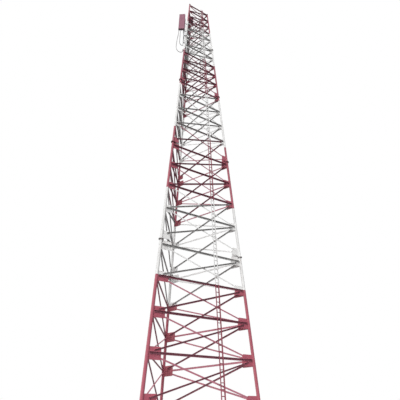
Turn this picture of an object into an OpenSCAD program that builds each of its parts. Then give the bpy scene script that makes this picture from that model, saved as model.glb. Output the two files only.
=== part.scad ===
// Three-legged lattice radio mast: bolted tube legs, angle bracing, a climbing
// ladder on the front side, one panel antenna and one drum antenna near the top.
// The left leg's foot is at the origin, the front side runs along +X, +Z is up.

/* [Tower] */
// Height of one bolted section of the tower
section_h = 7500; // [6500:50:8000]
// Side of the triangle at the ground, between leg centres
base_side = 5650; // [4800:10:6500]
// Side of the triangle at the top, between leg centres
top_side = 2200; // [1900:10:2800]
// Distance from a leg joint to the nearest bracing joint
joint_offset = 310; // [300:5:420]
// Panels of bracing in each of the three lower sections
lower_panels = 4; // [3:1:4]
// Panels of bracing in each of the two upper sections
upper_panels = 5; // [4:1:5]

/* [Legs] */
// Outer diameter of the lowest leg tubes
leg_d_bottom = 159; // [140:1:190]
// Outer diameter of the topmost leg tubes
leg_d_top = 133; // [115:1:150]
// Wall thickness of the leg tubes
leg_wall = 8; // [5:0.5:12]
// Rim of a leg flange outside its tube
flange_rim = 60; // [56:1:75]
// Rim of the cap on top of a leg
cap_rim = 16; // [8:1:30]
// Thickness of one leg flange
flange_t = 22; // [16:1:30]
// Bolts in a leg flange
flange_bolts = 8; // [6:1:10]
// Diameter of the holes in a leg flange
flange_hole_d = 24; // [18:1:28]

/* [Feet] */
// Diameter of a foot plate
foot_d = 480; // [440:5:560]
// Thickness of a foot plate
foot_t = 40; // [25:1:60]
// Anchor bolts in a foot plate
foot_bolts = 8; // [6:1:12]
// Distance from an anchor bolt's centre to the rim of its foot plate
foot_edge = 45; // [35:1:60]
// Diameter of the anchor bolt holes
foot_hole_d = 34; // [22:1:40]
// Height of the ribs on a foot plate
foot_rib_h = 170; // [120:5:200]
// Thickness of the ribs on a foot plate
foot_rib_t = 14; // [8:1:20]

/* [Gussets] */
// Reach of the lowest gussets from the leg's centre
gusset_w_bottom = 625; // [560:5:680]
// Reach of the topmost gussets from the leg's centre
gusset_w_top = 340; // [320:5:400]
// Height of the lowest gussets
gusset_h_bottom = 515; // [460:5:530]
// Height of the topmost gussets
gusset_h_top = 360; // [320:5:400]
// Thickness of the gussets
gusset_t = 12; // [8:1:16]
// Cut at the outer corners of the gussets
gusset_cut = 40; // [20:1:60]

/* [Bracing] */
// Leg width of the horizontal angle bars
horizontal_w = 92; // [65:1:95]
// Thickness of the horizontal angle bars
horizontal_t = 7; // [5:0.5:9]
// Leg width of the diagonal angle bars
diagonal_w = 72; // [50:1:72]
// Thickness of the diagonal angle bars
diagonal_t = 6; // [4:0.5:8]
// Distance from the leg's centre to the end of the lowest diagonals
diagonal_start_bottom = 320; // [285:5:330]
// Distance from the leg's centre to the end of the topmost diagonals
diagonal_start_top = 215; // [190:5:230]
// Clearance between a leg tube and the end of a horizontal
bar_gap = 14; // [8:1:25]

/* [Ladder] */
// Place of the ladder across the front side, from left to right
ladder_place = 0.647; // [0.6:0.001:0.7]
// Width of the ladder between its rails
ladder_w = 150; // [140:1:240]
// Spacing of the rungs
rung_step = 255; // [220:5:300]
// Diameter of the rungs
rung_d = 38; // [18:1:40]
// Depth of a ladder rail
rail_d = 44; // [36:1:60]
// Thickness of a ladder rail
rail_t = 8; // [6:1:12]
// Width of the outward face of a ladder rail
rail_w = 50; // [30:1:60]
// Height of the foot of the ladder
ladder_foot = 330; // [250:10:500]
// Gap between the bracing and the ladder rails
ladder_gap = 6; // [4:1:20]
// Width of a ladder lug
lug_w = 52; // [40:1:60]

/* [Panel antenna] */
// Width of the panel antenna
panel_w = 580; // [500:5:640]
// Depth of the panel antenna
panel_d = 170; // [140:5:220]
// Height of the panel antenna
panel_h = 2900; // [2400:10:3000]
// Direction that the panel antenna faces, in degrees from +X
panel_facing = -123; // [-135:1:-110]
// Distance from the lower arm down to the panel antenna's lower end
panel_below = 358; // [280:1:420]
// Gap between the panel antenna and its pole
panel_gap = 45; // [35:1:80]
// Reach of the arms from the leg's centre to the panel antenna's pole
arm_reach = 550; // [500:5:620]
// Height of an antenna arm
arm_h = 90; // [70:1:100]
// Rim of the collars of the antenna arms
arm_rim = 18; // [12:1:22]
// Diameter of the antenna poles
pole_d = 89; // [76:1:102]
// Wall thickness of the antenna poles
pole_wall = 5; // [3:0.5:8]
// Length of a pole beyond its outermost arm
pole_end = 320; // [260:5:400]
// Length of the upright near the leg beyond its outermost arm
upright_end = 880; // [600:10:900]
// Gap between the leg and the upright near it, where they are closest
upright_gap = 22; // [15:1:40]
// Height of the brackets behind the panel antenna
bracket_h = 70; // [50:1:90]
// Width of the brackets behind the panel antenna
bracket_w = 120; // [90:1:160]

/* [Feeder cables] */
// Diameter of the feeder cables
cable_d = 44; // [30:1:46]
// Wall of the plugs around the cables
plug_wall = 8; // [5:1:12]
// Length of the plugs under the panel antenna
plug_l = 70; // [50:1:90]
// Reach of the clamp blocks from the leg's centre
clamp_reach = 170; // [150:1:200]
// Width of the clamp blocks
clamp_w = 110; // [90:1:140]
// Height of the clamp blocks
clamp_h = 60; // [40:1:70]
// Rim of the clamp collars around the leg
clamp_rim = 12; // [8:1:20]
// How far the outer cable bows away from the tower
outer_bow = 130; // [100:5:200]

/* [Drum antenna] */
// Diameter of the drum antenna
drum_d = 1100; // [900:10:1200]
// Depth of the drum
drum_l = 520; // [400:5:600]
// Height of the drum's centre above the tower's top
drum_rise = 800; // [700:10:900]
// Distance from the pole's centre to the drum's back
drum_reach = 160; // [140:5:200]
// Reach of the drum's arms from the leg's centre to the pole
drum_arm = 400; // [360:5:440]

/* [Hidden] */
$fn = 48;
sections = 5;
tower_h = sections * section_h;
slope = (base_side - top_side) / tower_h;
foot_r = base_side / sqrt(3);
foot_apothem = foot_r / 2;
// Diameter of the anchor bolt circle
foot_pcd = foot_d - 2 * foot_edge;
// Lean of a leg and of a side towards the tower's axis
lean = atan(slope / sqrt(3));
tilt = atan(slope / (2 * sqrt(3)));
// Directions of the legs from the axis, and of the sides' outward normals
LEFT = -150;
RIGHT = -30;
REAR = 90;
FRONT_SIDE = -90;
RIGHT_SIDE = 30;
LEFT_SIDE = 150;
red = [0.62, 0.26, 0.31];
white = [0.86, 0.86, 0.86];
grey = [0.45, 0.45, 0.47];
eps = 1;
cable_sides = 8;

function side_at(z) = base_side - slope * z;
function half_at(z) = side_at(z) / 2;
function up_side(z) = z / cos(tilt);
function up_leg(z) = z / cos(lean);
function panels(s) = s < 3 ? lower_panels : upper_panels;
function blend(a, b, s) = a + (b - a) * s / (sections - 1);
function leg_d(s) = blend(leg_d_bottom, leg_d_top, s);
function gusset_w(s) = gusset_w_top + (gusset_w_bottom - gusset_w_top) * pow(1 - s / (sections - 1), 2.5);
function gusset_h(s) = blend(gusset_h_bottom, gusset_h_top, s);
function diagonal_start(s) = blend(diagonal_start_bottom, diagonal_start_top, s);
function section_of(z) = min(sections - 1, floor(z / section_h));
function level(s, i) = s * section_h + joint_offset + i * (section_h - 2 * joint_offset) / panels(s);
function leg_xy(a, z) = let (r = side_at(z) / sqrt(3)) [r * cos(a), r * sin(a)];
function ladder_x(z) = (ladder_place - 0.5) * side_at(z);
function from_to(p, q, d) = p + (q - p) * d / norm(q - p);

// Moves the tower's axis so that the left leg's foot is at the origin
module on_site() {
  translate([base_side / 2, foot_apothem, 0]) children();
}

// Local +Z runs up a leg's centre line, local +X points away from the tower
module on_leg(a) {
  rotate([0, 0, a]) translate([foot_r, 0, 0]) rotate([0, -lean, 0]) children();
}

// Local +X runs along a side, local +Y up the side, local +Z out of it
module on_side(a) {
  rotate([0, 0, a]) translate([foot_apothem, 0, 0]) rotate([0, -tilt, 0]) rotate([90, 0, 90]) children();
}

// Ring of bolt holes along +Z
module bolt_ring(count, pcd, d, h) {
  for (i = [0 : count - 1]) {
    rotate([0, 0, (i + 0.5) * 360 / count]) translate([pcd / 2, 0, 0]) cylinder(d = d, h = h);
  }
}

// Gusset outline: the bars fan out from the leg at its left edge
module gusset_shape(w, h) {
  c = gusset_cut;
  polygon([[0, -h / 2], [w - c, -h / 2], [w, c - h / 2], [w, h / 2 - c], [w - c, h / 2], [0, h / 2]]);
}

module gusset(a, end, s, z) {
  on_side(a) translate([end * half_at(z), up_side(z), -gusset_t / 2])
    mirror([end > 0 ? 1 : 0, 0, 0]) linear_extrude(gusset_t) gusset_shape(gusset_w(s), gusset_h(s));
}

// One leg section: tube, end flanges and the gussets of its two sides
module leg_section(a, side_1, end_1, side_2, end_2, s) {
  z0 = s == 0 ? 0 : up_leg(s * section_h);
  z1 = up_leg((s + 1) * section_h);
  d = leg_d(s);
  below = s == 0 ? foot_t : 0;
  closed = s == sections - 1 ? flange_t : -eps;
  difference() {
    union() {
      on_leg(a) translate([0, 0, z0 - below]) cylinder(d = d, h = z1 - z0 + below);
      on_leg(a) translate([0, 0, z1 - flange_t])
        cylinder(d = leg_d(s) + 2 * (s == sections - 1 ? cap_rim : flange_rim), h = flange_t);
      if (s > 0) {
        on_leg(a) translate([0, 0, z0]) cylinder(d = leg_d(s - 1) + 2 * flange_rim, h = flange_t);
      }
      for (i = [0 : panels(s)]) {
        gusset(side_1, end_1, s, level(s, i));
        gusset(side_2, end_2, s, level(s, i));
      }
    }
    on_leg(a) translate([0, 0, z0 - foot_t - eps])
      cylinder(d = d - 2 * leg_wall, h = z1 - z0 + foot_t + eps - closed);
    if (s < sections - 1) {
      on_leg(a) translate([0, 0, z1 - flange_t - eps])
        bolt_ring(flange_bolts, leg_d(s) + flange_rim, flange_hole_d, flange_t + 2 * eps);
    }
    if (s > 0) {
      on_leg(a) translate([0, 0, z0 - eps])
        bolt_ring(flange_bolts, leg_d(s - 1) + flange_rim, flange_hole_d, flange_t + 2 * eps);
    }
    if (s == 0) {
      rotate([0, 0, a]) translate([foot_r - foot_d, -foot_d, foot_t - 4 * foot_d])
        cube([2 * foot_d, 2 * foot_d, 4 * foot_d]);
    }
  }
}

// Foot plate with ribs against the leg
module foot(a) {
  inner = leg_d_bottom / 2 - foot_rib_t;
  outer = foot_d / 2 - foot_rib_t;
  difference() {
    union() {
      rotate([0, 0, a]) translate([foot_r, 0, 0]) cylinder(d = foot_d, h = foot_t);
      rotate([0, 0, a]) translate([foot_r, 0, foot_t - eps]) {
        for (i = [0 : foot_bolts - 1]) {
          rotate([0, 0, i * 360 / foot_bolts]) rotate([90, 0, 0]) translate([0, 0, -foot_rib_t / 2])
            linear_extrude(foot_rib_t) polygon([
              [inner, 0], [outer, 0], [outer, foot_rib_h * 0.15],
              [inner + 2 * foot_rib_t, foot_rib_h], [inner, foot_rib_h]
            ]);
        }
      }
    }
    rotate([0, 0, a]) translate([foot_r, 0, -eps])
      bolt_ring(foot_bolts, foot_pcd, foot_hole_d, foot_t + 2 * eps);
    difference() {
      on_leg(a) translate([0, 0, -foot_t]) cylinder(d = leg_d_bottom, h = 4 * foot_rib_h);
      rotate([0, 0, a]) translate([foot_r - foot_d, -foot_d, -foot_d])
        cube([2 * foot_d, 2 * foot_d, foot_d + foot_t]);
    }
  }
}

// Angle bar from p to q on a side's plane; face is +1 outside the gussets, -1 inside
module angle_bar(p, q, w, t, face) {
  g = gusset_t / 2;
  translate([p[0], p[1], 0]) rotate([0, 0, atan2(q[1] - p[1], q[0] - p[0])]) rotate([90, 0, 90])
    linear_extrude(norm(q - p)) polygon([
      [-w / 2, face * g], [w / 2, face * g], [w / 2, face * (g + w)],
      [w / 2 - t, face * (g + w)], [w / 2 - t, face * (g + t)], [-w / 2, face * (g + t)]
    ]);
}

// Two crossing diagonals joined by a packing plate where they cross
module cross_bars(z0, z1, start) {
  a0 = [-half_at(z0), up_side(z0)];
  a1 = [half_at(z1), up_side(z1)];
  b0 = [half_at(z0), up_side(z0)];
  b1 = [-half_at(z1), up_side(z1)];
  y = up_side(z0) + (up_side(z1) - up_side(z0)) * half_at(z0) / (half_at(z0) + half_at(z1));
  angle_bar(from_to(a0, a1, start), from_to(a1, a0, start), diagonal_w, diagonal_t, 1);
  angle_bar(from_to(b1, b0, start), from_to(b0, b1, start), diagonal_w, diagonal_t, -1);
  translate([0, y, 0]) cube([diagonal_w * 0.8, diagonal_w * 0.8, gusset_t + 2 * eps], center = true);
}

// Bracing of one side of one section
module bracing(a, s) {
  cut = leg_d(s) / 2 + bar_gap;
  on_side(a) {
    for (i = [0 : panels(s) - 1]) {
      cross_bars(level(s, i), level(s, i + 1), diagonal_start(s));
    }
    for (i = [1 : panels(s)]) {
      z = level(s, i);
      p = [cut - half_at(z), up_side(z)];
      q = [half_at(z) - cut, up_side(z)];
      angle_bar(p, q, horizontal_w, horizontal_t, 1);
    }
  }
}

// One length of the ladder, held on the horizontals of the front side
module ladder(s) {
  z0 = s == 0 ? ladder_foot : s * section_h;
  z1 = (s + 1) * section_h;
  out = gusset_t / 2 + horizontal_w + ladder_gap;
  turn = atan2(up_side(z1) - up_side(z0), ladder_x(z1) - ladder_x(z0)) - 90;
  length = norm([ladder_x(z1) - ladder_x(z0), up_side(z1) - up_side(z0)]);
  first = ceil((z0 + rung_step * 0.2) / rung_step);
  last = floor((z1 - rung_step * 0.2) / rung_step);
  on_side(FRONT_SIDE) {
    translate([ladder_x(z0), up_side(z0), out]) rotate([0, 0, turn]) {
      for (e = [-1, 1]) {
        translate([e * ladder_w / 2 - rail_t / 2, 0, 0]) cube([rail_t, length, rail_d]);
        translate([e > 0 ? ladder_w / 2 : -ladder_w / 2 - rail_w, 0, rail_d - rail_t])
          cube([rail_w, length, rail_t]);
      }
      for (n = [first : last]) {
        translate([-ladder_w / 2, up_side(n * rung_step - z0), rail_d / 2]) rotate([0, 90, 0])
          cylinder(d = rung_d, h = ladder_w);
      }
    }
    for (i = [1 : panels(s)]) {
      z = level(s, i);
      for (e = [-1, 1]) {
        x = ladder_x(z) + e * ladder_w / 2 - (e > 0 ? rail_t : lug_w - rail_t);
        translate([x, up_side(z) + horizontal_w / 2, gusset_t])
          cube([lug_w, rail_t, out - gusset_t + rail_d * 0.8]);
      }
    }
  }
}

// Heights of the antenna arms, clear of the bracing joints
arm_low = level(4, 0) + 0.50 * (level(4, 1) - level(4, 0));
arm_high = level(4, 1) + 0.62 * (level(4, 2) - level(4, 1));
arm_root = leg_xy(LEFT, (arm_low + arm_high) / 2);
pole_xy = arm_root - [arm_reach, 0];
pole_low = arm_low - pole_end / 2;
pole_high = arm_high + pole_end;
panel_z = arm_low - panel_below;
panel_off = pole_d / 2 + panel_gap + panel_d / 2;
panel_xy = pole_xy + panel_off * [cos(panel_facing), sin(panel_facing)];
// Upright that stands clear of the leg at its lower end
upright_low = arm_low - upright_end;
upright_high = arm_high + upright_end;
upright_x = leg_xy(LEFT, upright_low)[0] - leg_d_top / 2 - pole_d / 2 - upright_gap;
upright_xy = [upright_x, arm_root[1]];
// Places of the plugs across the panel antenna's width
plug_outer = -0.40 * panel_w;
plug_loop = -0.14 * panel_w;
plug_inner = 0.33 * panel_w;
plug_z = panel_z - plug_l;
function under_plug(x) = [
  panel_xy[0] - x * sin(panel_facing), panel_xy[1] + x * cos(panel_facing), plug_z
];
// Heights of the cable clamps on the left leg
clamp_mid = level(3, 4) + 0.24 * (level(3, 5) - level(3, 4));
clamp_low = level(3, 3) + 0.24 * (level(3, 4) - level(3, 3));
// Place along the lower arm, from its pole, where the looped cable ends
loop_place = 0.43;
loop_drop = 0.70 * (plug_z - clamp_low);
loop_xy = pole_xy + loop_place * (leg_xy(LEFT, arm_low) - pole_xy);
// The arms' bars are narrower than their collars
arm_bar_w = 0.8 * arm_h;
arm_bar_h = 0.7 * arm_h;
drum_z = tower_h + drum_rise;
drum_arm_low = level(4, 4) + 0.30 * (level(4, 5) - level(4, 4));
drum_arm_high = level(4, 4) + 0.70 * (level(4, 5) - level(4, 4));
drum_pole_xy = leg_xy(REAR, drum_arm_high) + drum_arm * [cos(LEFT_SIDE), sin(LEFT_SIDE)];
drum_pole_low = drum_arm_low - pole_end / 2;
drum_pole_high = drum_z + drum_d * 0.22;
drum_plate_w = 1.4 * pole_d;
drum_plate_h = 2.5 * pole_d;
drum_turn = RIGHT;

// Bar from a collar on a leg to a collar on a pole at height z; more poles may stand along it
module pole_arm(a, z, poles) {
  rim = arm_rim;
  h = arm_h;
  xy = poles[0];
  root = leg_xy(a, z);
  reach = norm(xy - root);
  difference() {
    union() {
      on_leg(a) translate([0, 0, up_leg(z) - h / 2]) cylinder(d = leg_d(section_of(z)) + 2 * rim, h = h);
      for (p = poles) {
        translate([p[0], p[1], z - h / 2]) cylinder(d = pole_d + 2 * rim, h = h);
      }
      translate([root[0], root[1], z]) rotate([0, 0, atan2(xy[1] - root[1], xy[0] - root[0])])
        translate([0, -arm_bar_w / 2, -arm_bar_h / 2]) cube([reach, arm_bar_w, arm_bar_h]);
    }
    on_leg(a) translate([0, 0, up_leg(z) - 2 * h]) cylinder(d = leg_d(section_of(z)), h = 4 * h);
    for (p = poles) {
      translate([p[0], p[1], z - 2 * h]) cylinder(d = pole_d, h = 4 * h);
    }
  }
}

// Open tube that stands at a place
module pole(xy, low, high) {
  translate([xy[0], xy[1], low]) difference() {
    cylinder(d = pole_d, h = high - low);
    translate([0, 0, -eps]) cylinder(d = pole_d - 2 * pole_wall, h = high - low + 2 * eps);
  }
}

// Outline of the panel antenna seen from above, front towards -Y
module panel_shape() {
  r = panel_d * 0.22;
  w = panel_w / 2 - r;
  d = panel_d / 2;
  union() {
    translate([-w, -d]) square([2 * w, panel_d]);
    translate([-w - r, -d + r]) square([2 * w + 2 * r, panel_d - r]);
    translate([-w, -d + r]) circle(r);
    translate([w, -d + r]) circle(r);
  }
}

// Round cable through the points of a path that keeps to one upright plane
module cable(path, across) {
  n = len(path);
  ring = [
    for (i = [0 : n - 1])
      let (t = path[min(i + 1, n - 1)] - path[max(i - 1, 0)], u = across, w = cross(t, u) / norm(cross(t, u)))
        for (k = [0 : cable_sides - 1])
          let (f = (k + 0.5) * 360 / cable_sides)
            path[i] + cable_d / 2 * (cos(f) * u + sin(f) * w)
  ];
  faces = concat(
    [[for (k = [0 : cable_sides - 1]) cable_sides - 1 - k]],
    [for (i = [0 : n - 2]) for (k = [0 : cable_sides - 1])
      [i * cable_sides + k, i * cable_sides + (k + 1) % cable_sides,
        (i + 1) * cable_sides + (k + 1) % cable_sides, (i + 1) * cable_sides + k]],
    [[for (k = [0 : cable_sides - 1]) (n - 1) * cable_sides + k]]
  );
  polyhedron(points = ring, faces = faces, convexity = 6);
}

// Path that drops from p, turns in a half circle and rises to q
function u_path(p, q, drop) = let (h = [q[0] - p[0], q[1] - p[1], 0], r = norm(h) / 2) concat(
  [for (k = [0 : 4]) p - [0, 0, drop * k / 4]],
  [for (k = [1 : 11]) p + h * (1 - cos(k * 15)) / 2 - [0, 0, drop + r * sin(k * 15)]],
  [for (k = [0 : 4]) [q[0], q[1], p[2] - drop + (q[2] - p[2] + drop) * k / 4]]
);

// Point on a cubic curve
function curve(a, b, c, d, t) =
  a * pow(1 - t, 3) + b * 3 * t * pow(1 - t, 2) + c * 3 * t * t * (1 - t) + d * pow(t, 3);

// Path that bows out from p, hangs and comes into q from below
function bow_path(p, q, bow) = let (
  h = norm([q[0] - p[0], q[1] - p[1]]),
  drop = p[2] - q[2],
  u = [(q[0] - p[0]) / h, (q[1] - p[1]) / h, 0],
  m = [p[0] - u[0] * bow, p[1] - u[1] * bow, q[2] + drop * 0.08]
) concat(
  [for (k = [0 : 8]) curve(p, p - [0, 0, drop * 0.35], m + [0, 0, drop * 0.45], m, k / 8)],
  [for (k = [1 : 14]) curve(m, m - [0, 0, drop * 0.28], q - [0, 0, drop * 0.20], q, k / 14)]
);

// Path that comes down from p and swings over to q
function swing_path(p, q) = let (drop = p[2] - q[2])
  [for (k = [0 : 14]) curve(p, p - [0, 0, drop * 0.45], q + [0, 0, drop * 0.45], q, k / 14)];

// Collar and block that hold the cables on the left leg
module cable_clamp(z) {
  c = leg_xy(LEFT, z);
  difference() {
    union() {
      on_leg(LEFT) translate([0, 0, up_leg(z) - clamp_h / 2])
        cylinder(d = leg_d(section_of(z)) + 2 * clamp_rim, h = clamp_h);
      translate([c[0] - clamp_reach, c[1] - clamp_w / 2, z - clamp_h / 2])
        cube([clamp_reach, clamp_w, clamp_h]);
    }
    on_leg(LEFT) translate([0, 0, up_leg(z) - 2 * clamp_h])
      cylinder(d = leg_d(section_of(z)), h = 4 * clamp_h);
  }
}

module leg_part(a, s) {
  color(s == 2 ? white : red) on_site() {
    if (a == LEFT) {
      leg_section(LEFT, FRONT_SIDE, -1, LEFT_SIDE, 1, s);
    }
    if (a == RIGHT) {
      leg_section(RIGHT, FRONT_SIDE, 1, RIGHT_SIDE, -1, s);
    }
    if (a == REAR) {
      leg_section(REAR, RIGHT_SIDE, 1, LEFT_SIDE, -1, s);
    }
  }
}

module foot_part(a) {
  color(grey) on_site() foot(a);
}

module bracing_part(a, s) {
  color(s == 2 ? white : red) on_site() bracing(a, s);
}

module ladder_part(s) {
  color(s == 2 ? white : red) on_site() ladder(s);
}

module panel_antenna() {
  color(red) on_site() {
    translate([panel_xy[0], panel_xy[1], panel_z]) rotate([0, 0, panel_facing + 90]) {
      linear_extrude(panel_h) panel_shape();
      for (x = [plug_outer, plug_loop, plug_inner]) {
        translate([x, 0, -plug_l]) cylinder(d = cable_d + 2 * plug_wall, h = plug_l + eps);
      }
    }
    for (z = [arm_low, arm_high]) {
      translate([pole_xy[0], pole_xy[1], z + arm_h]) rotate([0, 0, panel_facing + 90]) difference() {
        translate([-bracket_w / 2, -pole_d / 2 - panel_gap - eps, 0])
          cube([bracket_w, panel_gap + pole_d / 2, bracket_h]);
        translate([0, 0, -bracket_h]) cylinder(d = pole_d, h = 3 * bracket_h);
      }
    }
  }
}

module panel_pole() {
  color(grey) on_site() {
    pole(pole_xy, pole_low, pole_high);
    pole(upright_xy, upright_low, upright_high);
  }
}

module panel_arms() {
  color(grey) on_site() {
    pole_arm(LEFT, arm_low, [pole_xy, upright_xy]);
    pole_arm(LEFT, arm_high, [pole_xy, upright_xy]);
  }
}

module feeder_cables() {
  color(grey) on_site() {
    low = leg_xy(LEFT, clamp_low) - [clamp_reach - cable_d, 0];
    mid = leg_xy(LEFT, clamp_mid) - [clamp_reach - cable_d, 0];
    end_low = [low[0], low[1], clamp_low - clamp_h / 2];
    end_mid = [mid[0], mid[1], clamp_mid + clamp_h / 2];
    end_loop = [loop_xy[0], loop_xy[1], arm_low - arm_bar_h / 2 - clamp_h];
    for (path = [
      bow_path(under_plug(plug_outer), end_low, outer_bow),
      u_path(under_plug(plug_loop), end_loop, loop_drop),
      swing_path(under_plug(plug_inner), end_mid)
    ]) {
      p = path[0];
      q = path[len(path) - 1];
      u = [q[1] - p[1], p[0] - q[0], 0];
      cable(path, u / norm(u));
    }
  }
}

module cable_clamps() {
  color(grey) on_site() {
    cable_clamp(clamp_mid);
    cable_clamp(clamp_low);
    translate([loop_xy[0], loop_xy[1], arm_low - arm_bar_h / 2]) rotate([180, 0, 0])
      cylinder(d = cable_d + 2 * plug_wall, h = clamp_h);
  }
}

module drum_antenna() {
  color(grey) on_site() translate([drum_pole_xy[0], drum_pole_xy[1], drum_z]) rotate([0, 0, drum_turn]) {
    rotate([0, 90, 0]) translate([0, 0, drum_reach]) rotate_extrude() polygon([
      [0, 0], [drum_d * 0.16, 0], [drum_d * 0.5, drum_l * 0.38], [drum_d * 0.5, drum_l * 0.94],
      [drum_d * 0.47, drum_l * 0.94], [drum_d * 0.30, drum_l * 0.99], [0, drum_l]
    ]);
    difference() {
      translate([0, -drum_plate_w / 2, -drum_plate_h / 2])
        cube([drum_reach + eps, drum_plate_w, drum_plate_h]);
      translate([0, 0, -drum_plate_h]) cylinder(d = pole_d, h = 2 * drum_plate_h);
    }
  }
}

module drum_pole() {
  color(grey) on_site() {
    length = drum_pole_high - drum_pole_low;
    translate([drum_pole_xy[0], drum_pole_xy[1], drum_pole_low]) difference() {
      cylinder(d = pole_d, h = length);
      translate([0, 0, -eps]) cylinder(d = pole_d - 2 * pole_wall, h = length - pole_wall);
    }
    pole_arm(REAR, drum_arm_low, [drum_pole_xy]);
    pole_arm(REAR, drum_arm_high, [drum_pole_xy]);
  }
}

foot_part(LEFT);  // foot_left
foot_part(RIGHT);  // foot_right
foot_part(REAR);  // foot_rear
leg_part(LEFT, 0);  // leg_left_1
leg_part(LEFT, 1);  // leg_left_2
leg_part(LEFT, 2);  // leg_left_3
leg_part(LEFT, 3);  // leg_left_4
leg_part(LEFT, 4);  // leg_left_5
leg_part(RIGHT, 0);  // leg_right_1
leg_part(RIGHT, 1);  // leg_right_2
leg_part(RIGHT, 2);  // leg_right_3
leg_part(RIGHT, 3);  // leg_right_4
leg_part(RIGHT, 4);  // leg_right_5
leg_part(REAR, 0);  // leg_rear_1
leg_part(REAR, 1);  // leg_rear_2
leg_part(REAR, 2);  // leg_rear_3
leg_part(REAR, 3);  // leg_rear_4
leg_part(REAR, 4);  // leg_rear_5
bracing_part(FRONT_SIDE, 0);  // bracing_front_1
bracing_part(FRONT_SIDE, 1);  // bracing_front_2
bracing_part(FRONT_SIDE, 2);  // bracing_front_3
bracing_part(FRONT_SIDE, 3);  // bracing_front_4
bracing_part(FRONT_SIDE, 4);  // bracing_front_5
bracing_part(RIGHT_SIDE, 0);  // bracing_right_1
bracing_part(RIGHT_SIDE, 1);  // bracing_right_2
bracing_part(RIGHT_SIDE, 2);  // bracing_right_3
bracing_part(RIGHT_SIDE, 3);  // bracing_right_4
bracing_part(RIGHT_SIDE, 4);  // bracing_right_5
bracing_part(LEFT_SIDE, 0);  // bracing_left_1
bracing_part(LEFT_SIDE, 1);  // bracing_left_2
bracing_part(LEFT_SIDE, 2);  // bracing_left_3
bracing_part(LEFT_SIDE, 3);  // bracing_left_4
bracing_part(LEFT_SIDE, 4);  // bracing_left_5
ladder_part(0);  // ladder_1
ladder_part(1);  // ladder_2
ladder_part(2);  // ladder_3
ladder_part(3);  // ladder_4
ladder_part(4);  // ladder_5
panel_antenna();
panel_pole();
panel_arms();
feeder_cables();
cable_clamps();
drum_antenna();
drum_pole();
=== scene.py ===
import itertools
import math

import bmesh
import bpy
from mathutils import Matrix, Vector


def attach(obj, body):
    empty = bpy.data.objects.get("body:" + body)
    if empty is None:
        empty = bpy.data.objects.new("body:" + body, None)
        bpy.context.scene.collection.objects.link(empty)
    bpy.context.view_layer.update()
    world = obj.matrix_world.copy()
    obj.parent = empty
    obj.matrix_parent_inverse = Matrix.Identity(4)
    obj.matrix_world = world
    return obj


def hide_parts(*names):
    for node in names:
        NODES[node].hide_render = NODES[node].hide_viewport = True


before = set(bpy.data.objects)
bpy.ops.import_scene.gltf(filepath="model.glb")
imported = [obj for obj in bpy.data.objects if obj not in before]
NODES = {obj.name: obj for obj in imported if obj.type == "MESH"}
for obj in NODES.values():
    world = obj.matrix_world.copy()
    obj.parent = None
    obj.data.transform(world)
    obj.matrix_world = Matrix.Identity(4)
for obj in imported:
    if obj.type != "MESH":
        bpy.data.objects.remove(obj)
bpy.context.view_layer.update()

# Sizes of the solids in metres: tower and legs
SECTION_H = 7.5
SECTIONS = 5
PANELS = (4, 4, 4, 5, 5)
JOINT_OFFSET = 0.310
BASE_SIDE = 5.65
TOP_SIDE = 2.2
LEG_D = (0.159, 0.133)
FLANGE_RIM = 0.060
FLANGE_T = 0.022
FLANGE_BOLTS = 8
FOOT_T = 0.040
FOOT_PCD = 0.390
FOOT_BOLTS = 8
# Bracing
GUSSET_H = (0.515, 0.360)
GUSSET_T = 0.012
HORIZONTAL_W = 0.092
HORIZONTAL_T = 0.007
DIAGONAL_T = 0.006
DIAGONAL_START = (0.320, 0.215)
BAR_GAP = 0.014
# Ladder
LADDER_PLACE = 0.647
LADDER_W = 0.150
LADDER_FOOT = 0.330
LADDER_GAP = 0.006
RUNG_STEP = 0.255
RUNG_D = 0.038
RUNG_CLEAR = 0.2
RAIL_D = 0.044
RAIL_T = 0.008
LUG_W = 0.052
# Panel antenna and its frame
PANEL_W = 0.580
PANEL_D = 0.170
PANEL_H = 2.900
PANEL_FACING = -123.0
PANEL_BELOW = 0.358
PANEL_GAP = 0.045
PANEL_ROUND = 0.22
ARM_REACH = 0.550
ARM_H = 0.090
ARM_BAR_H = 0.7 * ARM_H
ARM_RIM = 0.018
POLE_D = 0.089
POLE_END = 0.320
UPRIGHT_END = 0.880
UPRIGHT_GAP = 0.022
BRACKET_H = 0.070
# Feeder cables
CABLE_D = 0.044
PLUG_WALL = 0.008
PLUG_L = 0.070
CLAMP_REACH = 0.170
CLAMP_W = 0.110
CLAMP_H = 0.060
CLAMP_RIM = 0.012
OUTER_BOW = 0.130
LOOP_PLACE = 0.43
# Drum antenna
DRUM_D = 1.100
DRUM_RISE = 0.800
DRUM_REACH = 0.160
DRUM_ARM = 0.400
DRUM_FACING = -30.0

TOWER_H = SECTION_H * SECTIONS
SLOPE = (BASE_SIDE - TOP_SIDE) / TOWER_H
FOOT_R = BASE_SIDE / math.sqrt(3)
APOTHEM = FOOT_R / 2
LEAN = math.atan(SLOPE / math.sqrt(3))
TILT = math.atan(SLOPE / (2 * math.sqrt(3)))
AXIS = Vector((BASE_SIDE / 2, APOTHEM, 0))
LEGS = {"left": -150.0, "right": -30.0, "rear": 90.0}
SIDES = {"front": -90.0, "right": 30.0, "left": 150.0}
# The two sides that each leg carries, with the end of the side where the leg stands
LEG_SIDES = {
    "left": (("front", -1), ("left", 1)),
    "right": (("front", 1), ("right", -1)),
    "rear": (("right", 1), ("left", -1)),
}


def move(x, y, z):
    return Matrix.Translation((x, y, z))


def spin(degrees, axis):
    return Matrix.Rotation(math.radians(degrees), 4, axis)


def heading(degrees):
    """Level unit vector at an angle from +X."""
    a = math.radians(degrees)
    return Vector((math.cos(a), math.sin(a), 0))


def side_at(z):
    """Length of a side at a height."""
    return BASE_SIDE - SLOPE * z


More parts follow.
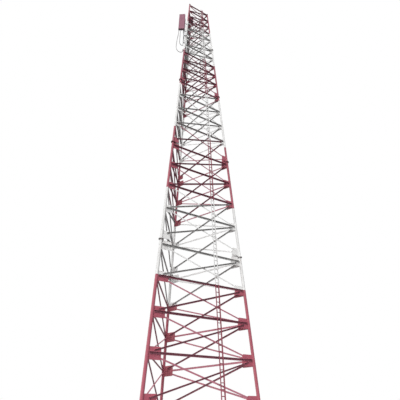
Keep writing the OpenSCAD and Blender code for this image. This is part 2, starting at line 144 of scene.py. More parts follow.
def half_at(z):
    return side_at(z) / 2


def up_side(z):
    """Way up a tilted side to a height."""
    return z / math.cos(TILT)


def up_leg(z):
    """Way up a leaning leg to a height."""
    return z / math.cos(LEAN)


def between(pair, s):
    """Value in section s, from the pair's lowest and topmost ones."""
    return pair[0] + (pair[1] - pair[0]) * s / (SECTIONS - 1)


def leg_d(s):
    return between(LEG_D, s)


def level(s, i):
    """Height of a bracing joint."""
    return s * SECTION_H + JOINT_OFFSET + i * (SECTION_H - 2 * JOINT_OFFSET) / PANELS[s]


def part_way(s, i, share):
    """Height between one bracing joint and the next."""
    return level(s, i) + share * (level(s, i + 1) - level(s, i))


def section_of(z):
    return min(SECTIONS - 1, int(z // SECTION_H))


def leg_point(leg, z):
    """Centre of a leg at a height."""
    r = side_at(z) / math.sqrt(3)
    a = math.radians(LEGS[leg])
    return Vector((AXIS.x + r * math.cos(a), AXIS.y + r * math.sin(a), z))


def foot_place(leg):
    """Stands upright on the centre of a leg's foot, with local +X away from the tower."""
    return Matrix.Translation(AXIS) @ spin(LEGS[leg], "Z") @ move(FOOT_R, 0, 0)


def leg_place(leg):
    """Local +Z runs up the leg's centre line, local +X away from the tower."""
    return foot_place(leg) @ Matrix.Rotation(-LEAN, 4, "Y")


def side_place(side):
    """Local +X runs along the side, local +Y up it, local +Z out of it."""
    upright = Matrix.Translation(AXIS) @ spin(SIDES[side], "Z") @ move(APOTHEM, 0, 0)
    return upright @ Matrix.Rotation(-TILT, 4, "Y") @ spin(90, "Z") @ spin(90, "X")


def ladder_x(z):
    """Where the ladder's middle is along the front side."""
    return (LADDER_PLACE - 0.5) * side_at(z)


ARM_LOW = part_way(4, 0, 0.50)
ARM_HIGH = part_way(4, 1, 0.62)
ARM_ROOT = leg_point("left", (ARM_LOW + ARM_HIGH) / 2)
POLE = ARM_ROOT - Vector((ARM_REACH, 0, 0))
PANEL_Z = ARM_LOW - PANEL_BELOW
PANEL_TURN = spin(PANEL_FACING + 90, "Z")
PANEL_OFF = POLE_D / 2 + PANEL_GAP + PANEL_D / 2
PANEL_PLACE = move(*(POLE.xy + PANEL_OFF * heading(PANEL_FACING).xy), PANEL_Z) @ PANEL_TURN
UPRIGHT_LOW = ARM_LOW - UPRIGHT_END
UPRIGHT_X = leg_point("left", UPRIGHT_LOW).x - LEG_D[1] / 2 - POLE_D / 2 - UPRIGHT_GAP
UPRIGHT = Vector((UPRIGHT_X, ARM_ROOT.y, 0))
PLUG_Z = PANEL_Z - PLUG_L
PLUGS = [share * PANEL_W for share in (-0.40, -0.14, 0.33)]
CLAMP_MID = part_way(3, 4, 0.24)
CLAMP_LOW = part_way(3, 3, 0.24)
LOOP_DROP = 0.70 * (PLUG_Z - CLAMP_LOW)
DRUM_Z = TOWER_H + DRUM_RISE
DRUM_ARM_HIGH = part_way(4, 4, 0.70)
DRUM_ARM_LOW = part_way(4, 4, 0.30)
DRUM_POLE = leg_point("rear", DRUM_ARM_HIGH) + DRUM_ARM * heading(SIDES["left"])
DRUM_PLACE = move(DRUM_POLE.x, DRUM_POLE.y, DRUM_Z) @ spin(DRUM_FACING, "Z")


# Camera at the photograph's angle

CAMERA_LENS = 29.007
CAMERA_SHIFT = (-0.03625, -0.01925)
CAMERA_AT = (-4.9805, -14.1476, -0.6471)
CAMERA_HEADING = 58.804
CAMERA_PITCH = 36.40
CAMERA_ROLL = -1.73

camera = bpy.data.objects.new("camera", bpy.data.cameras.new("camera"))
bpy.context.scene.collection.objects.link(camera)
camera.data.lens = CAMERA_LENS
camera.data.sensor_width = 36.0
camera.data.clip_end = 400.0
camera.data.shift_x, camera.data.shift_y = CAMERA_SHIFT
camera_turn = spin(CAMERA_HEADING - 90, "Z") @ spin(90 + CAMERA_PITCH, "X") @ spin(CAMERA_ROLL, "Z")
camera.matrix_world = move(*CAMERA_AT) @ camera_turn
bpy.context.scene.camera = camera


# Feeder cables, on the routes of their solids

def under_plug(x):
    """Where a cable leaves its plug under the panel antenna."""
    p = PANEL_PLACE @ Vector((x, 0, 0))
    return Vector((p.x, p.y, PLUG_Z))


def cubic(a, b, c, d, t):
    """Point at t on a Bezier curve."""
    return a * (1 - t) ** 3 + b * 3 * t * (1 - t) ** 2 + c * 3 * t * t * (1 - t) + d * t ** 3


def bow_path(p, q, bow):
    """Bows out from p, hangs and comes into q from below."""
    along = Vector((q.x - p.x, q.y - p.y, 0)).normalized()
    drop = p.z - q.z
    m = Vector((p.x - along.x * bow, p.y - along.y * bow, q.z + drop * 0.08))
    up = Vector((0, 0, drop))
    return ([cubic(p, p - up * 0.35, m + up * 0.45, m, k / 8) for k in range(9)]
            + [cubic(m, m - up * 0.28, q - up * 0.20, q, k / 14) for k in range(1, 15)])


def u_path(p, q, drop):
    """Drops from p, turns in a half circle and rises to q."""
    h = Vector((q.x - p.x, q.y - p.y, 0))
    r = h.length / 2
    down = [p - Vector((0, 0, drop * k / 4)) for k in range(5)]
    angles = [math.radians(15 * k) for k in range(1, 12)]
    bend = [p + h * (1 - math.cos(a)) / 2 - Vector((0, 0, drop + r * math.sin(a))) for a in angles]
    up = [Vector((q.x, q.y, p.z - drop + (q.z - p.z + drop) * k / 4)) for k in range(5)]
    return down + bend + up


def swing_path(p, q):
    """Comes down from p and swings over to q."""
    up = Vector((0, 0, p.z - q.z))
    return [cubic(p, p - up * 0.45, q + up * 0.45, q, k / 14) for k in range(15)]


LOOP_XY = POLE + LOOP_PLACE * (leg_point("left", ARM_LOW) - POLE)
END_LOW = leg_point("left", CLAMP_LOW) - Vector((CLAMP_REACH - CABLE_D, 0, CLAMP_H / 2))
END_MID = leg_point("left", CLAMP_MID) - Vector((CLAMP_REACH - CABLE_D, 0, -CLAMP_H / 2))
END_LOOP = Vector((LOOP_XY.x, LOOP_XY.y, ARM_LOW - ARM_BAR_H / 2 - CLAMP_H))
CABLE_PATHS = {
    "feeder_cable_outer": bow_path(under_plug(PLUGS[0]), END_LOW, OUTER_BOW),
    "feeder_cable_loop": u_path(under_plug(PLUGS[1]), END_LOOP, LOOP_DROP),
    "feeder_cable_inner": swing_path(under_plug(PLUGS[2]), END_MID),
}


def cable_curve(name, path):
    """The points carry the cable's radius, because a curve's box grows by it."""
    data = bpy.data.curves.new(name, "CURVE")
    data.dimensions = "3D"
    data.resolution_u = 5
    data.bevel_depth = 1.0
    data.bevel_resolution = 4
    data.use_fill_caps = True
    spline = data.splines.new("BEZIER")
    spline.bezier_points.add(len(path) - 1)
    for point, where in zip(spline.bezier_points, path):
        point.co = where
        point.radius = CABLE_D / 2
        point.handle_left_type = "AUTO"
        point.handle_right_type = "AUTO"
    made = bpy.data.objects.new(name, data)
    bpy.context.scene.collection.objects.link(made)
    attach(made, "root")
    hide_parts("feeder_cables")
    return made


CABLES = {name: cable_curve(name, path) for name, path in CABLE_PATHS.items()}


# Node graphs

def add(tree, kind, inputs=None, **props):
    """A shader node with its properties and inputs set; an input is a value or another node's socket."""
    node = tree.nodes.new("ShaderNode" + kind)
    for key, value in props.items():
        setattr(node, key, value)
    for key, value in (inputs or {}).items():
        if isinstance(value, bpy.types.NodeSocket):
            tree.links.new(value, node.inputs[key])
        else:
            node.inputs[key].default_value = value
    return node


def math_node(tree, operation, a, b=0.0):
    return add(tree, "Math", {0: a, 1: b}, operation=operation).outputs[0]


def times(tree, a, b):
    return math_node(tree, "MULTIPLY", a, b)


def dot(tree, a, b):
    return add(tree, "VectorMath", {0: a, 1: b}, operation="DOT_PRODUCT").outputs["Value"]


def upwards(tree, vector):
    """The vertical part of a vector."""
    return add(tree, "SeparateXYZ", {0: vector}).outputs[2]


def noise(tree, vector, scale, detail=4.0, rough=0.55):
    inputs = {"Vector": vector, "Scale": scale, "Detail": detail, "Roughness": rough}
    return add(tree, "TexNoise", inputs).outputs["Fac"]


def stretch(tree, vector, factors):
    return add(tree, "Mapping", {"Vector": vector, "Scale": factors}).outputs[0]


def remap(tree, value, low, high, out_low=0.0, out_high=1.0):
    inputs = {0: value, 1: low, 2: high, 3: out_low, 4: out_high}
    return add(tree, "MapRange", inputs).outputs[0]


def blend(tree, factor, a, b):
    return add(tree, "Mix", {0: factor, 6: a, 7: b}, data_type="RGBA").outputs[2]


def rgb(r, g, b):
    """An sRGB colour from 0 to 255 as the linear colour that a node takes."""
    def linear(c):
        c /= 255
        return c / 12.92 if c <= 0.04045 else ((c + 0.055) / 1.055) ** 2.4
    return (linear(r), linear(g), linear(b), 1.0)


def new_material(name):
    """A material with a Principled shader; returns it with its tree, the shader and model coordinates."""
    made = bpy.data.materials.new(name)
    made.use_nodes = True
    tree = made.node_tree
    tree.nodes.clear()
    shader = add(tree, "BsdfPrincipled")
    out = add(tree, "OutputMaterial")
    tree.links.new(shader.outputs[0], out.inputs[0])
    where = add(tree, "TexCoord").outputs["Object"]
    return made, tree, shader, where


def set_surface(tree, shader, colour, rough, height, bump, depth):
    tree.links.new(colour, shader.inputs["Base Color"])
    tree.links.new(rough, shader.inputs["Roughness"])
    normal = add(tree, "Bump", {"Height": height, "Strength": bump, "Distance": depth})
    tree.links.new(normal.outputs[0], shader.inputs["Normal"])


# Paint

# The side that the painted light comes from: surfaces facing it get a painted highlight, surfaces facing away
# get painted shade
LIGHT_SIDE = (-0.84, 0.47, 0.27)
# Heights between which the red loses its painted highlight, and gets deeper
HIGHLIGHT_HEIGHTS = (5.0, 24.0)
DEEPER_FROM = (7.0, 24.0)
# Reds: deep, faded, a paler painted highlight for the side facing the light, and a greyed red as painted
# shade for the undersides
LEG_REDS = (rgb(154, 73, 89), rgb(173, 94, 108), rgb(200, 126, 131), rgb(150, 98, 111))
BAR_REDS = (rgb(162, 96, 112), rgb(182, 118, 133), rgb(198, 132, 143), rgb(166, 120, 134))
LADDER_REDS = (rgb(132, 62, 76), rgb(150, 80, 93), rgb(172, 104, 114), rgb(138, 90, 102))
HIGH_RED = rgb(120, 50, 68)
# Painted shade: the red of the side away from the light
SHADED_SIDE_RED = rgb(108, 64, 76)
RUN_RED = rgb(104, 54, 66)
CLEAN_WHITE = rgb(228, 228, 227)
# Grey of dirt on the white paint, also the painted shade of its undersides and far side
DIRTY_AND_SHADED_WHITE = rgb(178, 177, 177)
RUST = (rgb(92, 52, 36), rgb(128, 78, 52))
JOINT_STAIN = rgb(112, 72, 58)
JOINT_DARK = rgb(84, 74, 76)


def surface_normal(tree):
    return add(tree, "NewGeometry").outputs["Normal"]


def facing_light_side(tree, low, high):
    """Rises as the surface turns to the side of the painted light; with high under low, as it turns away."""
    return remap(tree, dot(tree, surface_normal(tree), LIGHT_SIDE), low, high)


# The side away from the light, where the paint gets painted shade
def shaded_side(tree):
    return facing_light_side(tree, -0.60, -0.95)


# Undersides, which get painted shade in both paints
def facing_down(tree):
    return remap(tree, upwards(tree, surface_normal(tree)), -0.25, -0.85)


def runs_down(tree, where, across, along, low, high, detail=5.0):
    """Streaks down the surface, from noise that is stretched upwards."""
    return remap(tree, noise(tree, stretch(tree, where, (across, across, along)), 1.0, detail), low, high)


def worn_red(tree, where, deep, faded, highlight_red, under_shade_red):
    """Red paint: broad fading, blotches and runs, with a paler painted highlight on the side facing the
    light, a darker painted shade on the side away from it and a greyed painted shade on the undersides.

    High up the painted highlight is weaker and the paint deeper in colour.
    """
    height = upwards(tree, where)
    # Painted highlight mask: surfaces facing the light, strongest low on the tower
    highlight = times(tree, facing_light_side(tree, 0.05, 0.85), remap(tree, height, *HIGHLIGHT_HEIGHTS, 0.65, 0.1))
    broad = remap(tree, noise(tree, where, 0.45, 3.0), 0.3, 0.7)
    fine = remap(tree, noise(tree, where, 5.0, 6.0), 0.3, 0.75)
    runs = runs_down(tree, where, 16, 0.7, 0.52, 0.78)
    base = blend(tree, times(tree, math_node(tree, "ADD", broad, fine), 0.5), deep, faded)
    base = blend(tree, remap(tree, height, *DEEPER_FROM, 0.0, 0.45), base, HIGH_RED)
    # Painted highlight: a paler red where the mask rises
    base = blend(tree, highlight, base, highlight_red)
    # Painted shade: a darker red on the side away from the light
    base = blend(tree, times(tree, shaded_side(tree), 0.5), base, SHADED_SIDE_RED)
    # Painted shade: a greyed red on the undersides
    base = blend(tree, times(tree, facing_down(tree), 0.8), base, under_shade_red)
    return blend(tree, times(tree, runs, 0.35), base, RUN_RED)


def worn_white(tree, where):
    """White paint: grey runs and soft blotches of dirt, with the same grey as painted shade on the side away
    from the light and on the undersides.
    """
    runs = runs_down(tree, where, 14, 0.55, 0.45, 0.8)
    spots = remap(tree, noise(tree, where, 2.3, 5.0), 0.45, 0.75)
    soiled_and_shaded = times(tree, math_node(tree, "ADD", runs, spots), 0.4)
    # Painted shade: the same grey on the side away from the light and on the undersides
    soiled_and_shaded = math_node(tree, "MAXIMUM", soiled_and_shaded, shaded_side(tree))
    soiled_and_shaded = math_node(tree, "MAXIMUM", soiled_and_shaded, facing_down(tree))
    return blend(tree, soiled_and_shaded, CLEAN_WHITE, DIRTY_AND_SHADED_WHITE)


def rusted(tree, where, colour, amount, spread=None):
    """Rust where the paint has gone: small spots, and more of them where spread is high."""
    spots = noise(tree, where, 11.0, 8.0, 0.62)
    if spread is not None:
        spots = math_node(tree, "ADD", spots, times(tree, spread, 0.2))
    mask = remap(tree, spots, 0.70 - amount, 0.74 - amount)
    rust = blend(tree, noise(tree, where, 60.0, 3.0), *RUST)
    return blend(tree, mask, colour, rust), mask


def below_joints(tree, where, height):
    """Streaks that fade out below the bolted joints of the legs."""
    gap = math_node(tree, "SUBTRACT", SECTION_H, math_node(tree, "MODULO", height, SECTION_H))
    fade = remap(tree, gap, 0.0, 1.1, 1.0, 0.0)
    return times(tree, fade, runs_down(tree, where, 30, 0.5, 0.5, 0.7, 3.0))


def at_joints(tree, height):
    """Darker colour on the flanges of the bolted joints."""
    from_joint = math_node(tree, "PINGPONG", height, SECTION_H / 2)
    return remap(tree, from_joint, 0.028, 0.045, 0.35, 0.0)


def banded_paint(name, edges, reds, rust, joints=False):
    """Red and white bands by height, red at the ground; edges are the heights where the paint changes."""
    made, tree, shader, where = new_material(name)
    height = upwards(tree, where)
    wobble = times(tree, math_node(tree, "SUBTRACT", noise(tree, where, 7.0, 2.0), 0.5), 0.03)
    edge_height = math_node(tree, "ADD", height, wobble)
    count = math_node(tree, "GREATER_THAN", edge_height, edges[0])
    for edge in edges[1:]:
        count = math_node(tree, "ADD", count, math_node(tree, "GREATER_THAN", edge_height, edge))
    white = math_node(tree, "MODULO", count, 2.0)
    colour = blend(tree, white, worn_red(tree, where, *reds), worn_white(tree, where))
    spread = None
    if joints:
        spread = below_joints(tree, where, height)
        colour = blend(tree, times(tree, spread, 0.45), colour, JOINT_STAIN)
        colour = blend(tree, at_joints(tree, height), colour, JOINT_DARK)
    colour, spots = rusted(tree, where, colour, rust, spread)
    grain = noise(tree, where, 240.0, 3.0)
    rough = remap(tree, noise(tree, where, 9.0, 5.0), 0.3, 0.7, 0.52, 0.74)
    rough = math_node(tree, "ADD", rough, times(tree, spots, 0.2))
    relief = math_node(tree, "SUBTRACT", grain, times(tree, spots, 1.5))
    shader.inputs["Specular IOR Level"].default_value = 0.3
    set_surface(tree, shader, colour, rough, relief, 0.25, 0.0015)
    return made


def galvanized_steel(name, dark, light, stain, metal):
    """Zinc: small crystals, soft stains and a little rust."""
    made, tree, shader, where = new_material(name)
    cells = add(tree, "TexVoronoi", {"Vector": where, "Scale": 70.0}).outputs["Color"]
    spangle = add(tree, "SeparateColor", {0: cells}).outputs[0]
    cloud = noise(tree, where, 4.0, 5.0)
    base = blend(tree, spangle, dark, light)
    stained = blend(tree, remap(tree, cloud, 0.5, 0.8, 0.0, 0.7), base, stain)
    colour, spots = rusted(tree, where, stained, 0.01)
    rough = remap(tree, math_node(tree, "ADD", spangle, cloud), 0.3, 1.6, 0.36, 0.62)
    shader.inputs["Metallic"].default_value = metal
    set_surface(tree, shader, colour, rough, math_node(tree, "SUBTRACT", cloud, spots), 0.2, 0.002)
    return made


def clouded(name, dark, light, run, rough=(0.42, 0.62), grain=240.0, gloss=0.4):
    """A plain moulded or sprayed surface: soft clouds, runs down it and a fine grain."""
    made, tree, shader, where = new_material(name)
    cloud = remap(tree, noise(tree, where, 2.0, 5.0), 0.3, 0.7)
    runs = runs_down(tree, where, 20, 0.9, 0.5, 0.8)
    base = blend(tree, cloud, dark, light)
    colour = blend(tree, times(tree, runs, 0.45), base, run)
    dull = remap(tree, noise(tree, where, 11.0, 4.0), 0.3, 0.7, *rough)
    shader.inputs["Specular IOR Level"].default_value = gloss
    set_surface(tree, shader, colour, dull, noise(tree, where, grain, 2.0), 0.12, 0.001)
    return made


# Heights where the paint changes on each leg, the ladder and the bars
LEG_EDGES = {
    "left": (5.520, 11.015, 16.600, 21.970, 27.550, 33.300),
    "right": (5.520, 10.930, 16.440, 21.970, 27.150, 33.300),
    "rear": (5.520, 11.015, 16.600, 21.970, 27.300, 33.300),
}
LADDER_EDGES = LEG_EDGES["rear"]
BAR_EDGES = (5.512, 11.208, 16.988, 22.148, 26.980, 33.020)

LEG_PAINT = {leg: banded_paint("leg_paint_" + leg, edges, LEG_REDS, 0.05, joints=True)
             for leg, edges in LEG_EDGES.items()}
LEG_FIXINGS = {leg: banded_paint("leg_fixings_" + leg, edges, LEG_REDS, 0.09, joints=True)
               for leg, edges in LEG_EDGES.items()}
LADDER_PAINT = banded_paint("ladder_paint", LADDER_EDGES, LADDER_REDS, 0.055)
LADDER_FIXINGS = banded_paint("ladder_fixings_paint", LADDER_EDGES, LADDER_REDS, 0.08)
BRACING_PAINT = banded_paint("bracing_paint", BAR_EDGES, BAR_REDS, 0.05)
BRACING_FIXINGS = banded_paint("bracing_fixings_paint", BAR_EDGES, BAR_REDS, 0.13)
GALVANIZED = galvanized_steel(
    "galvanized_steel", rgb(118, 120, 122), rgb(152, 154, 156), rgb(96, 94, 90), 0.55)
PALE_ZINC = galvanized_steel(
    "pale_zinc", rgb(186, 187, 189), rgb(214, 215, 217), rgb(150, 148, 146), 0.2)
RADOME = clouded(
    "radome_rose", rgb(138, 91, 107), rgb(150, 102, 119), rgb(124, 82, 97), (0.62, 0.8), gloss=0.12)
RADOME_EDGE = clouded(
    "radome_edge", rgb(138, 93, 109), rgb(150, 104, 120), rgb(118, 80, 94), (0.6, 0.8), gloss=0.2)
JACKET = clouded(
    "cable_jacket", rgb(82, 79, 82), rgb(104, 100, 103), rgb(66, 63, 66), (0.4, 0.6), 180.0)
SLEEVE = clouded(
    "sleeve_black", rgb(48, 46, 50), rgb(66, 62, 67), rgb(88, 82, 84), (0.45, 0.65), 180.0)
# Painted shade: the drum's shell and trim are a dark maroon-grey, standing for the shade it is seen in
DRUM_SHADED = clouded("drum_shell_shaded", rgb(84, 66, 74), rgb(102, 84, 92), rgb(64, 50, 57))
DRUM_TRIM_SHADED = clouded("drum_trim", rgb(66, 52, 59), rgb(82, 68, 75), rgb(50, 41, 46))


def dress(node, material):
    slots = NODES[node].data.materials
    slots.clear()
    slots.append(material)


for name in NODES:
    if name.startswith("leg_"):
        dress(name, LEG_PAINT[name.split("_")[1]])
    elif name.startswith("ladder_"):
        dress(name, LADDER_PAINT)
    elif name.startswith("bracing_"):
        dress(name, BRACING_PAINT)
    else:
        dress(name, GALVANIZED)
for name in ("panel_pole", "panel_arms", "cable_clamps"):
    dress(name, PALE_ZINC)
dress("panel_antenna", RADOME)
dress("feeder_cables", JACKET)
dress("drum_antenna", DRUM_SHADED)
for cable in CABLES.values():
    cable.data.materials.append(JACKET)


# Mesh tools

class Shape:
    """Points and faces gathered from many small solids."""

    def __init__(self):
        self.points = []
        self.faces = []

    def put(self, solid, place):
        start = len(self.points)
        self.points += [place @ Vector(p) for p in solid[0]]
        self.faces += [[start + i for i in face] for face in solid[1]]


def loft(rings, closed=False):
    """Solid through rings of points; its ends are faces, or the last ring joins the first."""
    n = len(rings[0])
    m = len(rings)
    faces = []
    for k in range(m if closed else m - 1):
        a, b = k * n, (k + 1) % m * n
        faces += [[a + i, a + (i + 1) % n, b + (i + 1) % n, b + i] for i in range(n)]
    if not closed:
        faces += [list(range(n))[::-1], [(m - 1) * n + i for i in range(n)]]
    return [p for ring in rings for p in ring], faces


def around(sides):
    return [2 * math.pi * i / sides for i in range(sides)]


def turned(profile, sides):
    """Solid turned about +Z from (radius, height) pairs."""
    return loft([[(r * math.cos(t), r * math.sin(t), z) for t in around(sides)] for r, z in profile])


def hoop(section, sides):
    """Ring about +Z with a section of (radius, height) pairs."""
    return loft([[(r * math.cos(t), r * math.sin(t), z) for r, z in section] for t in around(sides)], True)


def shrink(outline, d):
    """A convex outline moved inwards by d."""
    made = []
    for i, p in enumerate(outline):
        p, before, after = Vector(p), Vector(outline[i - 1]), Vector(outline[(i + 1) % len(outline)])
        e0, e1 = (p - before).normalized(), (after - p).normalized()
        n0, n1 = Vector((-e0.y, e0.x)), Vector((-e1.y, e1.x))
        made.append(p + (n0 + n1) / (1 + n0.dot(n1)) * d)
    return made


def plate(outline, low, high, edge=0.0015):
    """Plate from a convex outline, with its edges broken."""
    inner = shrink(outline, edge)
    rings = [(inner, low), (outline, low + edge), (outline, high - edge), (inner, high)]
    return loft([[(p[0], p[1], z) for p in ring] for ring, z in rings])


def block(x0, x1, y0, y1, z0, z1, edge=0.0015):
    return plate([(x0, y0), (x1, y0), (x1, y1), (x0, y1)], z0, z1, edge)


def tube(path, radii, sides=8):
    """Round rod along a path, with a radius for each of its points."""
    path = [Vector(p) for p in path]
    rings = []
    side = None
    for i, p in enumerate(path):
        along = (path[min(i + 1, len(path) - 1)] - path[max(i - 1, 0)]).normalized()
        if side is None:
            side = along.orthogonal()
        side = (side - along * side.dot(along)).normalized()
        other = along.cross(side)
        rings.append([p + radii[i] * (math.cos(t) * side + math.sin(t) * other) for t in around(sides)])
    return loft(rings)


def make_piece(name, shape, material, sharp=32):
    """An object of the mast from a shape; edges over the sharp angle stay sharp."""
    mesh = bpy.data.meshes.new(name)
    mesh.from_pydata(shape.points, [], shape.faces)
    whole = bmesh.new()
    whole.from_mesh(mesh)
    bmesh.ops.recalc_face_normals(whole, faces=whole.faces)
    whole.to_mesh(mesh)
    whole.free()
    mesh.materials.append(material)
    mesh.shade_smooth()
    mesh.set_sharp_from_angle(angle=math.radians(sharp))
    made = bpy.data.objects.new(name, mesh)
    bpy.context.scene.collection.objects.link(made)
    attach(made, "root")
    return made


# Fixings

# Widths of the bolts' heads across their flats
BAR_BOLT = 0.030
SPLICE_BOLT = 0.034
LUG_BOLT = 0.024
RAIL_BOLT = 0.018
EAR_BOLT = 0.019
CLAMP_BOLT = 0.024
ANCHOR_NUT = 0.046
WASHER_T = 0.003
HEAD_TO_SHANK = 1.55
# Each bolt is turned on from the one before, so that no two heads line up, and so are the anchor nuts
BOLT_TURN = 137.5
ANCHOR_TURN = 23
LOCK_NUT_TURN = 17
bolt_count = itertools.count(1)


def put_bolt(shape, place, across, grip):
    """Bolt through a joint: head on the face at place, which looks along +Z, nut on the far face."""
    d = across / HEAD_TO_SHANK
    r = across / math.sqrt(3)
    face = move(0, 0, WASHER_T) @ spin(next(bolt_count) * BOLT_TURN, "Z")
    washer = turned([(0.66 * across, 0), (0.66 * across, WASHER_T * 0.6), (0.63 * across, WASHER_T)], 12)
    far = place @ move(0, 0, -grip) @ spin(180, "X")
    shape.put(washer, place)
    shape.put(turned([(r, 0), (r, 0.5 * d), (0.84 * r, 0.64 * d)], 6), place @ face)
    shape.put(washer, far)
    shape.put(turned([(0.92 * r, 0), (r, 0.07 * d), (r, 0.72 * d), (0.86 * r, 0.82 * d)], 6), far @ face)
    shape.put(turned([(d / 2, 0.8 * d), (d / 2, 1.07 * d), (0.38 * d, 1.17 * d)], 8), far @ face)


def point_between(p, q, d):
    """Point at distance d from p towards q."""
    return p + (q - p).normalized() * d


# Places of the bolts along the bars, from the bars' ends; the low sections have wider gussets
LOW_SECTIONS = 2
LOW_DIAGONAL_BOLTS = (0.045, 0.120, 0.195)
HIGH_DIAGONAL_BOLTS = (0.040, 0.100)
HORIZONTAL_BOLTS = (0.060, 0.130, 0.200)


def bracing_bolts(side, s):
    """Bolts of one side in one section: bar ends on their gussets and the crossings of the diagonals."""
    shape = Shape()
    place = side_place(side)
    g = GUSSET_T / 2
    start = between(DIAGONAL_START, s)
    offsets = LOW_DIAGONAL_BOLTS if s < LOW_SECTIONS else HIGH_DIAGONAL_BOLTS
    for i in range(PANELS[s]):
        z0, z1 = level(s, i), level(s, i + 1)
        a0, a1 = Vector((-half_at(z0), up_side(z0))), Vector((half_at(z1), up_side(z1)))
        b0, b1 = Vector((half_at(z0), up_side(z0))), Vector((-half_at(z1), up_side(z1)))
        for off in offsets:
            for p, q in ((a0, a1), (a1, a0)):
                x, y = point_between(p, q, start + off)
                put_bolt(shape, place @ move(x, y, g + DIAGONAL_T), BAR_BOLT, GUSSET_T + DIAGONAL_T)
            for p, q in ((b0, b1), (b1, b0)):
                x, y = point_between(p, q, start + off)
                put_bolt(shape, place @ move(x, y, g), BAR_BOLT, GUSSET_T + DIAGONAL_T)
        cross = a0.y + (a1.y - a0.y) * half_at(z0) / (half_at(z0) + half_at(z1))
        put_bolt(shape, place @ move(0, cross, g + DIAGONAL_T), BAR_BOLT, GUSSET_T + 2 * DIAGONAL_T)
    for i in range(1, PANELS[s] + 1):
        z = level(s, i)
        for end in (-1, 1):
            for off in HORIZONTAL_BOLTS:
                x = end * (half_at(z) - leg_d(s) / 2 - BAR_GAP - off)
                y = up_side(z) - HORIZONTAL_T / 2
                put_bolt(shape, place @ move(x, y, g + HORIZONTAL_T), BAR_BOLT, GUSSET_T + HORIZONTAL_T)
    return shape


for side in SIDES:
    for s in range(SECTIONS):
        make_piece("bracing_bolts_%s_%d" % (side, s + 1), bracing_bolts(side, s), BRACING_FIXINGS)


def splice_bolts(leg):
    """Bolts through the flanges between the sections of a leg."""
    shape = Shape()
    for k in range(1, SECTIONS):
        r = (leg_d(k - 1) + FLANGE_RIM) / 2
        for i in range(FLANGE_BOLTS):
            t = math.radians(360 / FLANGE_BOLTS * (i + 0.5))
            under = move(r * math.cos(t), r * math.sin(t), up_leg(k * SECTION_H) - FLANGE_T) @ spin(180, "X")
            put_bolt(shape, leg_place(leg) @ under, SPLICE_BOLT, 2 * FLANGE_T)
    return shape


# Section of a bead around a tube, from the tube's wall, and sizes of a bead along a gusset
RING_BEAD = ((-0.002, -0.001), (0.011, -0.001), (0.008, 0.005), (0.003, 0.011), (-0.002, 0.013))
BEAD_R = 0.0065
BEAD_RIPPLE = 0.0012
BEAD_STEPS = 8


def weld_beads(leg):
    """Beads along the gussets and around the flanges and the foot of a leg."""
    shape = Shape()
    for k in range(SECTIONS):
        ring = hoop([(leg_d(k) / 2 + out, up) for out, up in RING_BEAD], 32)
        top = up_leg((k + 1) * SECTION_H) - FLANGE_T
        bottom = up_leg(k * SECTION_H) + (FLANGE_T if k else FOOT_T)
        shape.put(ring, leg_place(leg) @ move(0, 0, top) @ spin(180, "X"))
        shape.put(ring, leg_place(leg) @ move(0, 0, bottom))
    for side, end in LEG_SIDES[leg]:
        for s in range(SECTIONS):
            for i in range(PANELS[s] + 1):
                z = level(s, i)
                for face in (-1, 1):
                    path, radii = [], []
                    for k in range(BEAD_STEPS + 1):
                        t = (k / BEAD_STEPS - 0.5) * between(GUSSET_H, s)
                        x = end * (half_at(z) - SLOPE / 2 * t - leg_d(s) / 2)
                        path.append((x, up_side(z) + t, face * (GUSSET_T / 2 + 0.001)))
                        radii.append(BEAD_R + BEAD_RIPPLE * math.sin(2.4 * k + i + 5 * s))
                    shape.put(tube(path, radii, 6), side_place(side))
    return shape


def foot_anchors(leg):
    """Anchor rods with a washer and two nuts each."""
    shape = Shape()
    r = ANCHOR_NUT / math.sqrt(3)
    washer = turned([(0.034, 0), (0.034, 0.004), (0.032, 0.005)], 20)
    nut = turned([(0.93 * r, 0.005), (r, 0.007), (r, 0.028), (0.87 * r, 0.031)], 6)
    lock_nut = turned([(0.93 * r, 0.031), (r, 0.033), (r, 0.046), (0.87 * r, 0.049)], 6)
    rod = turned([(0.015, 0.045), (0.015, 0.078), (0.012, 0.083)], 12)
    centre = foot_place(leg) @ move(0, 0, FOOT_T)
    for i in range(FOOT_BOLTS):
        out = spin(360 / FOOT_BOLTS * (i + 0.5), "Z") @ move(FOOT_PCD / 2, 0, 0)
        place = centre @ out @ spin(ANCHOR_TURN * i, "Z")
        shape.put(washer, place)
        shape.put(nut, place)
        shape.put(lock_nut, place @ spin(LOCK_NUT_TURN, "Z"))
        shape.put(rod, place)
    return shape


for leg in LEGS:
    make_piece("splice_bolts_" + leg, splice_bolts(leg), LEG_FIXINGS[leg])
    make_piece("weld_beads_" + leg, weld_beads(leg), LEG_PAINT[leg], 60)
    make_piece("foot_anchors_" + leg, foot_anchors(leg), GALVANIZED)


# Ladder

LADDER_OUT = GUSSET_T / 2 + HORIZONTAL_W + LADDER_GAP
LADDER_TURN = math.degrees(math.atan2(up_side(1), ladder_x(1) - ladder_x(0))) - 90
# Plates that join the rails: thickness, half their length, and their faces above the rails' back
RAIL_PLATE_T = 0.006
RAIL_PLATE_HALF = 0.044
RAIL_PLATE_Z = (0.003, 0.033)


def ladder_place(z):
    return side_place("front") @ move(ladder_x(z), up_side(z), LADDER_OUT) @ spin(LADDER_TURN, "Z")


